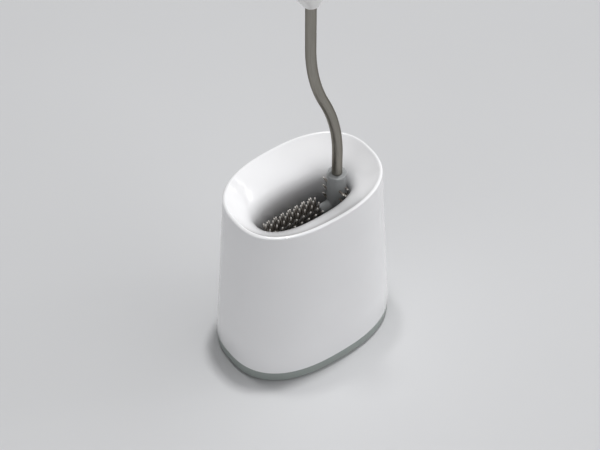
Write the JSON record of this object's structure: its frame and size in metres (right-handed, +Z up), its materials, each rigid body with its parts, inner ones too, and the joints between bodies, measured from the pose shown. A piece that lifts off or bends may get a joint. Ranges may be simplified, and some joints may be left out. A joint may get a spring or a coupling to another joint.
{
  "type": "toilet brush holder",
  "caption": "Free-standing toilet brush holder: oval funnel-mouthed shell that lifts off a drip tray, with a flexible D-headed brush on a bent steel tube and moulded grip.",
  "frame": {"origin": "middle of the footprint, on the surface that the holder stands on", "axes": "+Z up; +X along the long axis of the footprint towards the collar of the brush; +Y across it"},
  "size_m": [0.149, 0.1054, 0.4524],
  "materials": {
    "shell_white": "glossy injection-moulded white plastic",
    "tray_grey": "satin grey-green plastic",
    "foot_rubber": "matt dark rubber",
    "head_rubber": "satin dark grey flexible rubber",
    "bristle_rubber": "dark grey flexible rubber with lighter tips",
    "insert_plastic": "moulded dark grey plastic",
    "tube_steel": "fine brushed stainless steel",
    "core_plastic": "moulded light grey plastic",
    "grip_white": "satin white plastic"
  },
  "bodies": {
    "base": {"base_tray": "tray_grey", "foot_pad_1": "foot_rubber", "foot_pad_2": "foot_rubber", "foot_pad_3": "foot_rubber", "foot_pad_4": "foot_rubber"},
    "shell": {"outer_shell": "shell_white"},
    "brush": {"brush_head": "head_rubber", "rim_bristles": "bristle_rubber", "front_bristles": "bristle_rubber", "back_bristles": "bristle_rubber", "neck_bristles": "bristle_rubber", "socket_insert": "insert_plastic", "tube_plug": "insert_plastic", "handle_tube": "tube_steel", "grip_core": "core_plastic", "grip_body": "grip_white", "grip_cap": "grip_white"}
  },
  "joints": [
    {"name": "shell_lift", "type": "slide", "parent": "base", "child": "shell", "axis": [0, 0, 1], "range_m": [0, 0.18]},
    {"name": "brush_lift", "type": "slide", "parent": "base", "child": "brush", "axis": [0, 0, 1], "range_m": [0, 0.18]}
  ]
}
